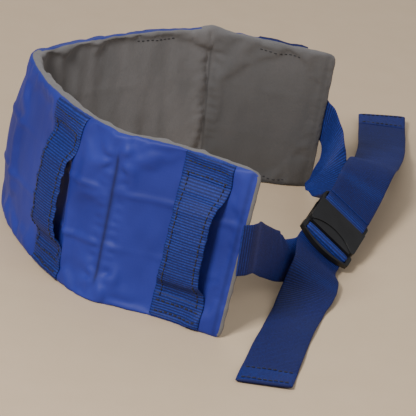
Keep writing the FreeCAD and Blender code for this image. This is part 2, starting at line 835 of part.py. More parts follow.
def build():
    make_panel("centre", centre_stations)
    make_panel("front_wing", front_stations)
    make_panel("back_wing", back_stations)
    make_seam_thread("front_seam_thread", front_arm, FRONT_SEAM_LEAN)
    make_seam_thread("back_seam_thread", back_arm, BACK_SEAM_LEAN)
    proud = size("stitch_radius") + size("layer_gap")
    make_end_stitching("front_end_stitching", front_stations, -proud)
    make_end_stitching("back_end_stitching", back_stations, size("panel_thickness") + proud)
    for name, edges in handle_list().items():
        make_handle(name, edges)
    make_female_housing()
    make_male_frame()
    make_prong("left_prong", 1)
    make_prong("right_prong", -1)
    make_front_strap()
    make_front_tail()
    make_back_strap()
    make_back_tail()


def export_parts():
    """Checks every object, then writes one STEP file for each sub-part."""
    doc.recompute()
    for item in doc.Objects:
        if "Invalid" in item.State or "Error" in item.State:
            raise RuntimeError(item.Label + " did not compute")
    parts = [item for item in doc.Objects
             if item.TypeId in ("PartDesign::Body", "Part::Feature", "Part::Cylinder")]
    for part in parts:
        if part.Shape.isNull() or not part.Shape.isValid():
            raise RuntimeError(part.Label + " has no valid shape")
    os.makedirs("parts", exist_ok=True)
    for part in parts:
        part.Shape.exportStep("parts/" + part.Label + ".step")


build()
export_parts()
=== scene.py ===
import math

import bpy
import numpy as np
from mathutils import Matrix, Vector, noise
from mathutils.bvhtree import BVHTree


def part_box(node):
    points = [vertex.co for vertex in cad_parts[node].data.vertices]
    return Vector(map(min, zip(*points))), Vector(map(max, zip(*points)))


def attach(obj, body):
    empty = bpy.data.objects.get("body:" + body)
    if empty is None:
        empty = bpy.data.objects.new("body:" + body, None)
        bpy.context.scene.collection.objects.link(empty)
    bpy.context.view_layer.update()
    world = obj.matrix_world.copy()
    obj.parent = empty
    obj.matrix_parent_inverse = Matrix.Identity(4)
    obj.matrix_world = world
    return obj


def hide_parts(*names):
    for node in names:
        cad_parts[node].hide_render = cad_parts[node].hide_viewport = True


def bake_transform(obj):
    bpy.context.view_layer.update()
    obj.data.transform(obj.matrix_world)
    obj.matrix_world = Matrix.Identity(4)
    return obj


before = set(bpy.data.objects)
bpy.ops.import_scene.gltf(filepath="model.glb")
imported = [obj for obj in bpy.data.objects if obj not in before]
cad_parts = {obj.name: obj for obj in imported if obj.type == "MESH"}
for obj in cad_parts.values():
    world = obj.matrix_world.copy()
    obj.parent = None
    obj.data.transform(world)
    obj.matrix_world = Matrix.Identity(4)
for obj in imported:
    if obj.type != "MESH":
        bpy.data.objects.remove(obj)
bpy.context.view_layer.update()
MM = 0.001

# ---------------------------------------------------------------- reading the frame

COVER_THICKNESS = 1.2 * MM
WEBBING_THICKNESS = 1.6 * MM
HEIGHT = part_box("centre_lining")[1].z
PAD_THICKNESS = 14 * MM


def unit(vectors):
    """Vectors scaled to length one, along the last axis."""
    vectors = np.asarray(vectors, float)
    length = np.linalg.norm(vectors, axis=-1, keepdims=True)
    return vectors / np.maximum(length, 1e-12)


def smoothstep(value, low=0.0, high=1.0):
    """0 up to low, 1 from high on, and an easy curve between them."""
    share = np.clip((np.asarray(value, float) - low) / (high - low), 0, 1)
    return share * share * (3 - 2 * share)


def bell(value, width):
    """1 at zero, falling off on both sides over about the width."""
    return np.exp(-(np.asarray(value, float) / width) ** 2)


def welded(node):
    """A CAD node's points and edges, with doubled vertices joined."""
    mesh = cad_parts[node].data
    keys = {}
    points = []
    index = []
    for vertex in mesh.vertices:
        key = tuple(round(c * 1e5) for c in vertex.co)
        if key not in keys:
            keys[key] = len(points)
            points.append(np.array(vertex.co))
        index.append(keys[key])
    edges = set()
    for edge in mesh.edges:
        a, b = (index[v] for v in edge.vertices)
        if a != b:
            edges.add((min(a, b), max(a, b)))
    return np.array(points), edges


def rails(node, thickness):
    """The two long sides of a flat CAD strip: for each, its two corner curves, in matching order."""
    points, edges = welded(node)
    partner = {}
    links = {}
    for a, b in edges:
        length = np.linalg.norm(points[a] - points[b])
        if abs(length - thickness) < 0.02 * MM:
            partner[a] = b
            partner[b] = a
    for a, b in edges:
        near = np.linalg.norm(points[a] - points[b]) < 20 * MM
        if near and a in partner and b in partner and partner[a] != b:
            links.setdefault(a, set()).add(b)
            links.setdefault(b, set()).add(a)
    chains = []
    seen = set()
    ends = [v for v in partner if len(beside(v, links, partner)) == 1]
    for end in sorted(ends):
        if end in seen:
            continue
        chain = [end]
        seen.update((end, partner[end]))
        while True:
            following = [v for v in beside(chain[-1], links, partner) if v not in seen]
            if not following:
                break
            chain.append(following[0])
            seen.update((following[0], partner[following[0]]))
        chains.append((points[chain], points[[partner[v] for v in chain]]))
    return chains[:2]


def beside(vertex, links, partner):
    """The corner points next to one along its own curve: links also cross to the partner's curve."""
    here = set(links.get(vertex, ()))
    crossed = set(links.get(partner[vertex], ()))
    return sorted(v for v in here if partner[v] in crossed)


def resampled(curve, marks, at):
    """A curve of points known at some marks, read at others along a smooth cubic."""
    curve = np.asarray(curve, float)
    slopes = np.gradient(curve, marks, axis=0)
    index = np.clip(np.searchsorted(marks, at, side="right") - 1, 0, len(marks) - 2)
    span = marks[index + 1] - marks[index]
    t = ((at - marks[index]) / span)[:, None]
    span = span[:, None]
    return ((2 * t ** 3 - 3 * t ** 2 + 1) * curve[index] + (t ** 3 - 2 * t ** 2 + t) * span * slopes[index]
            + (3 * t ** 2 - 2 * t ** 3) * curve[index + 1] + (t ** 3 - t ** 2) * span * slopes[index + 1])


def lengths(points):
    """The distance along a line of points, starting at zero."""
    steps = np.linalg.norm(np.diff(points, axis=0), axis=1)
    return np.concatenate(([0], np.cumsum(steps)))


# ---------------------------------------------------------------- mesh helpers

def new_object(name, points, faces, smooth=True):
    mesh = bpy.data.meshes.new(name)
    mesh.from_pydata([tuple(p) for p in points], [], [tuple(int(v) for v in face) for face in faces])
    mesh.polygons.foreach_set("use_smooth", [smooth] * len(mesh.polygons))
    mesh.update()
    piece = bpy.data.objects.new(name, mesh)
    bpy.context.scene.collection.objects.link(piece)
    return piece


def set_values(piece, name, values):
    """A number for each vertex, for the shaders and for later steps."""
    attribute = piece.data.attributes.new(name, "FLOAT", "POINT")
    attribute.data.foreach_set("value", np.asarray(values, np.float32))


def get_values(piece, name):
    values = np.zeros(len(piece.data.vertices), np.float32)
    piece.data.attributes[name].data.foreach_get("value", values)
    return values.astype(float)


def vertex_points(piece):
    points = np.zeros(len(piece.data.vertices) * 3)
    piece.data.vertices.foreach_get("co", points)
    return points.reshape(-1, 3)


def move_vertices(piece, points):
    piece.data.vertices.foreach_set("co", np.asarray(points).reshape(-1))
    piece.data.update()


def vertex_normals(piece):
    return np.array([v.normal for v in piece.data.vertices])


# ---------------------------------------------------------------- the padded belt

GRID = 4 * MM                 # spacing of the pad's grid
EDGE_ROUND = 4.5 * MM         # how far the top and bottom edges round over
END_ROUND = 4 * MM
SEAM_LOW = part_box("front_seam_thread")[0].z
SEAM_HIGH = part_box("front_seam_thread")[1].z
STRAP_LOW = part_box("centre_core_strap")[0].z
STRAP_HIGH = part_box("centre_core_strap")[1].z
END_STITCH_INSET = 7 * MM
RIM_ANGLES = (30, 60, 90, 120, 150)
COVER_RIM_STEPS = 2           # rim steps that belong to the cover; the lining rolls over the rest
COVER_END_STEPS = 1           # at the belt's two ends the lining rolls further over
COVER_BACK_STEPS = 4          # along the top of the back the cover reaches over instead
SHEET_THICKNESS = 0.9 * MM
FOLD_BULGE = 9 * MM
SEAM_PEAK = 3.5 * MM          # how far the top edge rises where the back seam creases it


def belt_outline():
    """The outer face's low and high curves with outward directions, from the front end to the back end."""
    lows, highs, low_outs, high_outs, counts = [], [], [], [], []
    for panel in ("front_wing", "centre", "back_wing"):
        foam = welded(panel + "_foam")[0]
        pair = sorted(rails(panel + "_cover", COVER_THICKNESS), key=lambda rail: rail[0][:, 2].mean())
        for (first, second), curves, outs in zip(pair, (lows, highs), (low_outs, high_outs)):
            first_gap = np.linalg.norm(foam - first[0], axis=1).min()
            second_gap = np.linalg.norm(foam - second[0], axis=1).min()
            outer, inner = (first, second) if first_gap > second_gap else (second, first)
            if panel == "front_wing":
                outer, inner = outer[::-1], inner[::-1]
            curves.append(outer)
            outs.append(unit(outer - inner))
        counts.append(len(lows[-1]))
    return [np.concatenate(part) for part in (lows, highs, low_outs, high_outs)] + [counts]


low_curve, high_curve, low_out, high_out, counts = belt_outline()
middle_curve = (low_curve + high_curve) / 2 - (low_out + high_out) / 2 * PAD_THICKNESS / 2
belt_marks = lengths(middle_curve)
BELT_LENGTH = belt_marks[-1]
FRONT_SEAM = belt_marks[counts[0] - 1:counts[0] + 1].mean()
BACK_SEAM = belt_marks[counts[0] + counts[1] - 1:counts[0] + counts[1] + 1].mean()
FOLD = belt_marks[np.argmin(middle_curve[:, 0])]
FRONT_CUT = (FRONT_SEAM + FOLD) / 2
BACK_CUT = (FOLD + BACK_SEAM) / 2


def seam_window(z):
    """1 along the sewn part of a quilting seam, fading out at both its ends."""
    return smoothstep(z, SEAM_LOW - 8 * MM, SEAM_LOW + 2 * MM) * (
        1 - smoothstep(z, SEAM_HIGH - 2 * MM, SEAM_HIGH + 8 * MM))


def belt_surface(s, z):
    """Mid-surface points, outward and upward directions at distances along the belt and heights."""
    low_z, high_z = low_curve[0, 2], high_curve[0, 2]
    share = ((z - low_z) / (high_z - low_z))[:, None]
    low = resampled(low_curve, belt_marks, s)
    high = resampled(high_curve, belt_marks, s)
    out = unit(resampled(low_out, belt_marks, s) * (1 - share) + resampled(high_out, belt_marks, s) * share)
    points = low * (1 - share) + high * share - out * PAD_THICKNESS / 2
    bulge = FOLD_BULGE * bell(s - FOLD, 55 * MM) * np.sin(np.pi * np.clip(z / HEIGHT, 0, 1))
    up = unit(high - low)
    peak = SEAM_PEAK * bell(s - BACK_SEAM, 9 * MM) * smoothstep(z, HEIGHT - 22 * MM, HEIGHT)
    return points + out * bulge[:, None] + up * peak[:, None], out, up


def half_thickness(s, z):
    """Half the padding's thickness: crowned, thin at the edges and ends, drawn in by the stitching."""
    crown = 0.62 + 0.38 * (1 - np.abs(2 * z / HEIGHT - 1) ** 3.5)
    from_end = np.minimum(s, BELT_LENGTH - s)
    ends = 0.32 + 0.68 * smoothstep(from_end, 0, 26 * MM)
    ends *= 1 - 0.5 * bell(from_end - END_STITCH_INSET, 3 * MM)
    seams = 1 - 0.8 * seam_window(z) * (bell(s - FRONT_SEAM, 9 * MM) + bell(s - BACK_SEAM, 7 * MM))
    return PAD_THICKNESS / 2 * crown * ends * seams


def pad_grid():
    """The closed, all-quad pillow of the belt as one mesh, with its belt coordinates as attributes."""
    columns = []
    stops = (END_ROUND, FRONT_SEAM, FRONT_CUT, FOLD, BACK_CUT, BACK_SEAM, BELT_LENGTH - END_ROUND)
    for low, high in zip(stops, stops[1:]):
        steps = round((high - low) / GRID)
        columns += list(np.linspace(low, high, steps, endpoint=False))
    columns.append(stops[-1])
    rows = np.linspace(EDGE_ROUND, HEIGHT - EDGE_ROUND, round(HEIGHT / GRID))
    count_s, count_z = len(columns), len(rows)
    s, z = (grid.reshape(-1) for grid in np.meshgrid(columns, rows, indexing="ij"))
    middle, out, up = belt_surface(s, z)
    along = unit(np.cross(up, out))
    if (along[count_z] @ (middle[count_z] - middle[0])) < 0:
        along = -along
    half = half_thickness(s, z)[:, None]
    sheet = len(s)
    points = [middle + out * half, middle - out * half]
    values = [s, s], [z, z], [np.ones(sheet), -np.ones(sheet)]
    faces = []
    tags = []

    def at(i, j):
        return i * count_z + j

    for i in range(count_s - 1):
        for j in range(count_z - 1):
            quad = (at(i, j), at(i + 1, j), at(i + 1, j + 1), at(i, j + 1))
            faces.append(quad)
            faces.append(tuple(sheet + v for v in reversed(quad)))
            tags += [tag_of(True, s[quad[0]]), tag_of(False, s[quad[0]])]
    border = ([(i, 0) for i in range(count_s)] + [(count_s - 1, j) for j in range(1, count_z)]
              + [(i, count_z - 1) for i in range(count_s - 2, -1, -1)]
              + [(0, j) for j in range(count_z - 2, 0, -1)])
    ring = np.array([at(i, j) for i, j in border])
    vertical = np.array([(j == count_z - 1) - (j == 0) for i, j in border], float)[:, None]
    lengthwise = np.array([(i == count_s - 1) - (i == 0) for i, j in border], float)[:, None]
    corner = np.where(np.abs(vertical * lengthwise) > 0, 0.75, 1.0)
    away = (up[ring] * vertical * EDGE_ROUND + along[ring] * lengthwise * END_ROUND) * corner
    loops = [ring]
    for step, angle in enumerate(np.radians(RIM_ANGLES)):
        points.append(middle[ring] + away * math.sin(angle) + out[ring] * half[ring] * math.cos(angle))
        values[0].append(s[ring])
        values[1].append(z[ring] + vertical[:, 0] * EDGE_ROUND * math.sin(angle))
        values[2].append(np.full(len(ring), math.cos(angle)))
        loops.append(2 * sheet + step * len(ring) + np.arange(len(ring)))
    loops.append(ring + sheet)
    for step in range(len(loops) - 1):
        for k in range(len(ring)):
            after = (k + 1) % len(ring)
            faces.append((loops[step][after], loops[step][k], loops[step + 1][k], loops[step + 1][after]))
            at_end = abs(lengthwise[k, 0]) + abs(lengthwise[after, 0]) == 2
            over_back = vertical[k, 0] > 0 and FOLD + 15 * MM < s[ring[k]] < BACK_SEAM - 10 * MM
            cover_steps = COVER_END_STEPS if at_end else COVER_BACK_STEPS if over_back else COVER_RIM_STEPS
            tags.append(tag_of(step < cover_steps, min(s[ring[k]], s[ring[after]])))
    pad = new_object("pad", np.concatenate(points), faces)
    for name, parts in zip(("belt_s", "belt_z", "belt_side"), values):
        set_values(pad, name, np.concatenate(parts))
    pad.data.polygons.foreach_set("material_index", tags)
    pad.data.update()
    return pad


def tag_of(is_cover, s):
    """Which of the four cloth pieces a face belongs to."""
    if is_cover:
        return 0 if s < BACK_CUT - GRID / 4 else 1
    return 2 if s < FRONT_CUT - GRID / 4 else 3


CLOTH_PIECES = ("cover_front", "cover_back", "lining_front", "lining_back")
CLOTH_FRAMES = 20
CLOTH_REACH = 4 * MM          # the furthest that the simulation may move a point


def simulate_padding(pad):
    """Blows the cover up against its seams, so that the cloth finds its own puckers."""
    before = vertex_points(pad)
    s, z, side = (get_values(pad, name) for name in ("belt_s", "belt_z", "belt_side"))
    rim = 1 - smoothstep(np.abs(side), 0.3, 0.9)
    seams = seam_window(z) * (bell(s - FRONT_SEAM, 3 * MM) + bell(s - BACK_SEAM, 3 * MM))
    from_end = np.minimum(s, BELT_LENGTH - s)
    held = np.clip(np.maximum(np.maximum(rim, seams), bell(from_end - END_STITCH_INSET, 3 * MM)), 0.06, 1)
    group = pad.vertex_groups.new(name="held")
    for index, weight in enumerate(held):
        group.add([index], float(weight), "REPLACE")
    cloth = pad.modifiers.new("cloth", "CLOTH")
    settings = cloth.settings
    settings.quality = 6
    settings.mass = 0.25
    settings.tension_stiffness = 12
    settings.compression_stiffness = 12
    settings.shear_stiffness = 6
    settings.bending_stiffness = 0.6
    settings.vertex_group_mass = "held"
    settings.pin_stiffness = 1
    settings.shrink_min = -0.04
    settings.use_pressure = True
    settings.uniform_pressure_force = 4
    settings.effector_weights.gravity = 0
    cloth.collision_settings.use_collision = False
    cloth.point_cache.frame_start = 1
    cloth.point_cache.frame_end = CLOTH_FRAMES
    scene = bpy.context.scene
    for step in range(1, CLOTH_FRAMES + 1):
        scene.frame_set(step)
    evaluated = pad.evaluated_get(bpy.context.evaluated_depsgraph_get())
    after = vertex_points(evaluated)
    pad.modifiers.remove(cloth)
    scene.frame_set(1)
    moved = after - before
    reach = np.linalg.norm(moved, axis=1, keepdims=True)
    move_vertices(pad, before + moved * np.minimum(1, CLOTH_REACH / np.maximum(reach, 1e-9)))


def subdivided(piece):
    """The piece with one level of subdivision applied."""
    piece.modifiers.new("smooth", "SUBSURF").levels = 1
    evaluated = piece.evaluated_get(bpy.context.evaluated_depsgraph_get())
    mesh = bpy.data.meshes.new_from_object(evaluated)
    piece.modifiers.clear()
    piece.data = mesh
    return piece


def soft_noise(a, b, seed):
    """Smooth noise over two coordinates, the same for the same seed."""
    return np.array([noise.noise(Vector((x, y, seed))) for x, y in zip(a, b)])


def pad_relief(s, z, side):
    """How far the cloth stands off the smooth padding."""
    relief = np.zeros(len(s))
    outer = smoothstep(side, 0.2, 0.9)
    inner = smoothstep(-side, 0.2, 0.9)
    sheet = np.maximum(outer, inner)
    for seam, strength in ((FRONT_SEAM, 1.0), (BACK_SEAM, 0.7)):
        across = s - seam
        pucker = np.sin(2 * np.pi * z / (9.2 * MM) + 2.5 * soft_noise(z / (14 * MM), across / (30 * MM), 3.1))
        relief += strength * 0.55 * MM * pucker * seam_window(z) * bell(np.abs(across) - 6 * MM, 5 * MM)
        for end, direction in ((SEAM_LOW, -1), (SEAM_HIGH, 1)):
            rise = (z - end) * direction
            radius = np.hypot(across, rise)
            angle = np.arctan2(across, rise)
            folds = np.cos(5 * angle + 3 * soft_noise(across / (25 * MM), z / (25 * MM), 7.7 + end))
            reach = smoothstep(radius, 2 * MM, 10 * MM) * bell(radius - 10 * MM, 13 * MM)
            relief += strength * 1.2 * MM * folds * reach
    uneven = 0.6 + 0.8 * soft_noise(s / (45 * MM), z / (60 * MM), 1.3)
    for level in (STRAP_LOW, STRAP_HIGH):
        drift = 1.5 * MM * np.sin(s / (38 * MM))
        relief -= 1.9 * MM * uneven * outer * bell(z - level - drift, 2.8 * MM)
        relief -= 0.35 * MM * uneven * inner * bell(z - level - drift, 4 * MM)
    relief += 0.9 * MM * outer * soft_noise(s / (28 * MM), z / (75 * MM), 5.5)
    relief += 0.5 * MM * outer * soft_noise(s / (11 * MM), z / (24 * MM), 9.2)
    loose = 1 - 0.7 * smoothstep(s, BACK_SEAM - 5 * MM, BACK_SEAM + 5 * MM)
    relief += 3.4 * MM * inner * loose * soft_noise(s / (17 * MM), z / (170 * MM), 2.4)
    relief += 0.5 * MM * inner * soft_noise(s / (9 * MM), z / (20 * MM), 4.8)
    from_end = np.minimum(s, BELT_LENGTH - s)
    gathers = soft_noise(z / (8 * MM), s / (40 * MM), 6.1) * bell(from_end, 9 * MM)
    waves = soft_noise(s / (13 * MM), side, 8.3) * smoothstep(z, HEIGHT - 14 * MM, HEIGHT)
    relief += (2.6 * MM * gathers + 1.6 * MM * waves) * (1.4 - sheet)
    half = half_thickness(s, z)
    relief *= (0.35 + 0.65 * sheet) * np.clip(half / (4.5 * MM), 0.25, 1)
    return np.maximum(relief, np.minimum(SHEET_THICKNESS - half, -0.8 * MM))


def make_pad():
    """The padding's skin as one mesh; the cloth pieces are cut from it."""
    pad = pad_grid()
    simulate_padding(pad)
    subdivided(pad)
    s, z, side = (get_values(pad, name) for name in ("belt_s", "belt_z", "belt_side"))
    points = vertex_points(pad) + vertex_normals(pad) * pad_relief(s, z, side)[:, None]
    points[:, 2] = np.maximum(points[:, 2], 0.2 * MM)
    move_vertices(pad, points)
    return pad


def cut_cloth(pad, tag, name):
    """One cloth piece of the pad as a closed sheet, keeping the whole pad's shading normals."""
    points = vertex_points(pad)
    normals = vertex_normals(pad)
    side = get_values(pad, "belt_side")
    faces = [tuple(p.vertices) for p in pad.data.polygons if p.material_index == tag]
    used = sorted({v for face in faces for v in face})
    new = {v: k for k, v in enumerate(used)}
    count = len(used)
    faces = [tuple(new[v] for v in face) for face in faces]
    edges = {}
    for face in faces:
        for a, b in zip(face, face[1:] + face[:1]):
            edges[(a, b)] = edges.get((a, b), 0) + 1
    border = [(a, b) for a, b in edges if (b, a) not in edges]
    inner = [tuple(v + count for v in reversed(face)) for face in faces]
    rim = [(b, a, a + count, b + count) for a, b in border]
    top = points[used]
    bottom = top - normals[used] * SHEET_THICKNESS
    piece = new_object(name, np.concatenate((top, bottom)), faces + inner + rim)
    # painted highlight: 1 on the rolled rims, where the cloth is painted lighter as if catching the light
    set_values(piece, "edge", np.tile(1 - smoothstep(np.abs(side[used]), 0.35, 0.95), 2))
    s, z = (get_values(pad, name)[used] for name in ("belt_s", "belt_z"))
    # painted shade: 1 in the grooves of the quilting seams and 0.7 along the end stitch rows, where the cloth
    # is painted darker
    seam = seam_window(z) * np.maximum(bell(s - FRONT_SEAM, 1.6 * MM), bell(s - BACK_SEAM, 1.6 * MM))
    from_end = np.minimum(s, BELT_LENGTH - s)
    set_values(piece, "seam", np.tile(np.maximum(seam, 0.7 * bell(from_end - END_STITCH_INSET, 1.2 * MM)), 2))
    # painted shade: the lining's back part darker towards the bottom, with a dark painted shadow band along
    # its bottom edge
    turned = smoothstep(s, BACK_SEAM - 2 * MM, BACK_SEAM + 6 * MM)
    hem = 1 - smoothstep(z, 5 * MM, 8 * MM)
    lining_shade = turned * np.maximum(0.25 + 0.5 * (1 - z / HEIGHT), hem)
    set_values(piece, "lining_shade", np.tile(lining_shade, 2))
    shading = np.concatenate((normals[used], -normals[used]))
    piece.data.normals_split_custom_set_from_vertices([tuple(n) for n in shading])
    return piece


# ---------------------------------------------------------------- webbing and stitches

STRIP_PITCH = 0.6 * MM        # distance between rows along a strip, fine enough for its ribs
RIB_PITCH = 2.5 * MM
RIB_DEPTH = 0.2 * MM
STRIP_ACROSS = np.array([-1, -0.97, -0.88, -0.72, -0.5, -0.25, 0, 0.25, 0.5, 0.72, 0.88, 0.97, 1])
WEBBING_WIDTH = 50 * MM
VISUAL_THICKNESS = 1.7 * MM


class Strip:
    """A strip's middle line, its width directions and its normals, in even steps."""

    def __init__(self, centres, sides, normals):
        marks = lengths(centres)
        self.length = marks[-1]
        self.at = np.arange(0, self.length, STRIP_PITCH)
        self.centres = resampled(centres, marks, self.at)
        self.sides = unit(resampled(sides, marks, self.at))
        along = unit(np.gradient(self.centres, axis=0))
        rough = unit(resampled(normals, marks, self.at))
        square = unit(np.cross(along, self.sides))
        turn = np.sign((square * rough).sum(axis=1, keepdims=True))
        self.normals = square * turn
        self.width = np.full(len(self.at), WEBBING_WIDTH)
        self.thickness = np.full(len(self.at), VISUAL_THICKNESS)
        self.lift = np.zeros((len(self.at), len(STRIP_ACROSS)))
        self.webbing_shade = np.zeros(len(self.at))      # painted shade: 1 where the webbing is painted at its darkest

    def base(self):
        """The strip's unlifted middle surface, row by row."""
        half = (self.sides * self.width[:, None] / 2)[:, None, :]
        return self.centres[:, None, :] + half * STRIP_ACROSS[None, :, None]

    def surface(self, side=1):
        """The upper (1) or lower (-1) face, row by row, with its ribs."""
        edge = np.sqrt(np.clip(1 - np.abs(STRIP_ACROSS) ** 8, 0, 1))
        rib = RIB_DEPTH * np.cos(2 * np.pi * self.at / RIB_PITCH)
        rise = self.lift + side * (self.thickness / 2 + rib)[:, None] * edge[None, :]
        return self.base() + self.normals[:, None, :] * rise[:, :, None]

    def piece(self, name, start=0.0, end=None):
        """A closed mesh of the strip between two distances."""
        end = self.length if end is None else end
        rows = np.nonzero((self.at >= start - STRIP_PITCH / 2) & (self.at <= end + STRIP_PITCH / 2))[0]
        top = self.surface(1)[rows]
        bottom = self.surface(-1)[rows][:, 1:-1]
        ring = np.concatenate((top, bottom[:, ::-1]), axis=1)
        count, around = ring.shape[:2]
        faces = []
        for i in range(count - 1):
            for k in range(around):
                after = (k + 1) % around
                faces.append((i * around + k, i * around + after,
                              (i + 1) * around + after, (i + 1) * around + k))
        wide = len(STRIP_ACROSS)
        for row, flip in ((0, True), (count - 1, False)):
            for k in range(wide - 1):
                low = (around - k) % around
                cap = [k, k + 1, around - k - 1, low]
                cap = [row * around + v for v in dict.fromkeys(cap)]
                faces.append(tuple(reversed(cap)) if flip else tuple(cap))
        piece = new_object(name, ring.reshape(-1, 3), faces)
        rib = np.cos(2 * np.pi * self.at[rows] / RIB_PITCH)
        set_values(piece, "rib", np.repeat(rib * 0.5 + 0.5, around))
        # painted shade, passed on to the webbing shader
        set_values(piece, "webbing_shade", np.repeat(self.webbing_shade[rows], around))
        return outside_out(piece)

    def spot(self, distance, across, side=1):
        """A point on a face, with the directions along, across and out of it."""
        row = int(np.clip(round(distance / STRIP_PITCH), 0, len(self.at) - 2))
        face = self.surface(side)
        line = face[row]
        point = np.array([np.interp(across, STRIP_ACROSS, line[:, axis]) for axis in range(3)])
        along = unit(self.centres[row + 1] - self.centres[row])
        return point, along, self.sides[row], self.normals[row] * side


def outside_out(piece):
    """Turns a closed mesh's faces so that they all face outwards."""
    points = vertex_points(piece)
    volume = 0.0
    for face in piece.data.polygons:
        corners = [points[v] for v in face.vertices]
        for b, c in zip(corners[1:], corners[2:]):
            volume += np.dot(corners[0] - points[0], np.cross(b - points[0], c - points[0]))
    if volume < 0:
        piece.data.flip_normals()
    return piece


def cad_strip(*nodes, lead=0.0, trail=0.0):
    """The Strip that runs along CAD strips, end to end, made longer straight ahead at its two ends."""
    centres, sides, normals = [], [], []
    for node in nodes:
        (left, left_back), (right, right_back) = rails(node, WEBBING_THICKNESS)
        middle = (left + left_back + right + right_back) / 4
        width = unit((right + right_back) - (left + left_back))
        facing = unit(left - left_back)
        if centres:
            if np.linalg.norm(middle[0] - centres[-1]) > np.linalg.norm(middle[-1] - centres[-1]):
                middle, width, facing = middle[::-1], width[::-1], facing[::-1]
            width = width * np.sign(width[0] @ sides[-1])
            facing = facing * np.sign(facing[0] @ normals[-1])
        centres += list(middle)
        sides += list(width)
        normals += list(facing)
    if lead:
        ahead = unit(centres[1] - centres[0])
        centres.insert(0, centres[0] - ahead * lead)
        sides.insert(0, sides[0])
        normals.insert(0, normals[0])
    if trail:
        centres.append(centres[-1] + unit(centres[-1] - centres[-2]) * trail)
        sides.append(sides[-1])
        normals.append(normals[-1])
    return Strip(np.array(centres), np.array(sides), np.array(normals))


STITCH_RINGS = ((-0.5, 0.15, -0.4), (-0.42, 0.8, 0.2), (-0.2, 1.0, 0.6), (0.2, 1.0, 0.6),
                (0.42, 0.8, 0.2), (0.5, 0.15, -0.4))
STITCH_SIDES = 6
STITCH_RISE = 0.4 * MM


def stitch_piece(name, spots, length=3.2 * MM, radius=0.42 * MM):
    """Stitches as small rounded strands; each spot is a point, the stitch's direction and the way out."""
    points = []
    faces = []
    for middle, direction, out in spots:
        side = unit(np.cross(direction, out))
        start = len(points)
        for place, swell, rise in STITCH_RINGS:
            centre = middle + direction * place * length + out * rise * radius
            for k in range(STITCH_SIDES):
                angle = 2 * math.pi * k / STITCH_SIDES
                points.append(centre + (side * math.cos(angle) + out * math.sin(angle)) * radius * swell)
        for ring in range(len(STITCH_RINGS) - 1):
            for k in range(STITCH_SIDES):
                after = (k + 1) % STITCH_SIDES
                low, high = start + ring * STITCH_SIDES, start + (ring + 1) * STITCH_SIDES
                faces.append((low + k, low + after, high + after, high + k))
        last = start + (len(STITCH_RINGS) - 1) * STITCH_SIDES
        faces.append(tuple(start + k for k in reversed(range(STITCH_SIDES))))
        faces.append(tuple(last + k for k in range(STITCH_SIDES)))
    return outside_out(new_object(name, points, faces))


def row_across(strip, distance, reach=0.86, pitch=4.4 * MM, side=1):
    """Stitch spots in a row across a strip."""
    count = int(strip.width[int(distance / STRIP_PITCH)] * reach / pitch)
    spots = []
    for k in range(count):
        across = reach * (2 * (k + 0.5) / count - 1)
        wander = 0.35 * MM * math.sin(7.3 * k + distance / MM)
        point, _, sideways, out = strip.spot(distance + wander, across, side)
        spots.append((point, sideways, out))
    return spots


def row_along(strip, start, end, across, pitch=4.4 * MM):
    """Stitch spots in a row along a strip."""
    spots = []
    for k in range(int((end - start) / pitch)):
        point, along, _, out = strip.spot(start + (k + 0.5) * pitch, across)
        spots.append((point, along, out))
    return spots


def row_behind(strip, distance, surface):
    """The same row where it comes through on the lining, behind the strip."""
    spots = []
    for point, direction, out in row_across(strip, distance):
        hit = surface.ray_cast(Vector(point - out * 45 * MM), Vector(out), 60 * MM)
        if hit[0]:
            spots.append((np.array(hit[0]) - out * STITCH_RISE, direction, -out))
    return spots


# ---------------------------------------------------------------- handles

HANDLES = {"front_end_handle": "front_wing", "front_side_handle": "root",
           "back_side_handle": "root", "back_end_handle": "back_wing"}
TAB_RISE = {"front_end_handle": 3.5 * MM, "front_side_handle": 3.5 * MM,
            "back_side_handle": 2.5 * MM, "back_end_handle": 5 * MM}
TAB_LENGTH = 21 * MM
GRIP_WIDTH = 38 * MM
BOW_LENGTH = 36 * MM
TAB_ROWS = (5 * MM, 15 * MM)


def handle_strip(handle, surface, phase):
    """A handle's webbing: sewn flat at both ends, narrowed and bowed out between them."""
    nodes = [handle + part for part in ("_lower_end", "_grip", "_upper_end")]
    strip = cad_strip(*nodes, trail=TAB_RISE[handle])
    to_pad = np.sign((strip.normals[0]) @ (strip.centres[len(strip.at) // 2] - strip.centres[0]))
    strip.normals *= to_pad
    from_end = np.minimum(strip.at, strip.length - strip.at)
    free = smoothstep(from_end, TAB_LENGTH - 3 * MM, TAB_LENGTH + BOW_LENGTH)
    strip.width -= (WEBBING_WIDTH - GRIP_WIDTH) * free
    strip.thickness += VISUAL_THICKNESS * 0.8 * (1 - smoothstep(from_end, TAB_LENGTH, TAB_LENGTH + 1 * MM))
    base = strip.base()
    reach = 30 * MM
    rest = np.zeros(strip.lift.shape)
    for i in range(len(strip.at)):
        direction = Vector(-strip.normals[i])
        for k in range(len(STRIP_ACROSS)):
            origin = Vector(base[i, k]) - direction * reach
            hit = surface.ray_cast(origin, direction, 2 * reach)
            rest[i, k] = reach - hit[3] if hit[0] else rest[i - 1, k]
    rest += (strip.thickness / 2 + 0.25 * MM)[:, None]
    edge = np.abs(STRIP_ACROSS)[None, :] ** 2.5
    slow = np.sin(2 * np.pi * strip.at / (19 * MM) + phase)
    quick = np.sin(2 * np.pi * strip.at / (8.3 * MM) + 2 * phase)
    ripple = 0.7 * MM * (slow + 0.6 * quick)[:, None] * edge * np.sign(STRIP_ACROSS)[None, :]
    curl = 1.6 * MM * edge * np.sin(np.pi * strip.at / strip.length)[:, None] ** 2
    tab = (1 - smoothstep(from_end, TAB_LENGTH - 2 * MM, TAB_LENGTH + 20 * MM))[:, None]
    strip.lift = np.maximum(tab * rest + (1 - tab) * (ripple - curl), rest)
    return strip


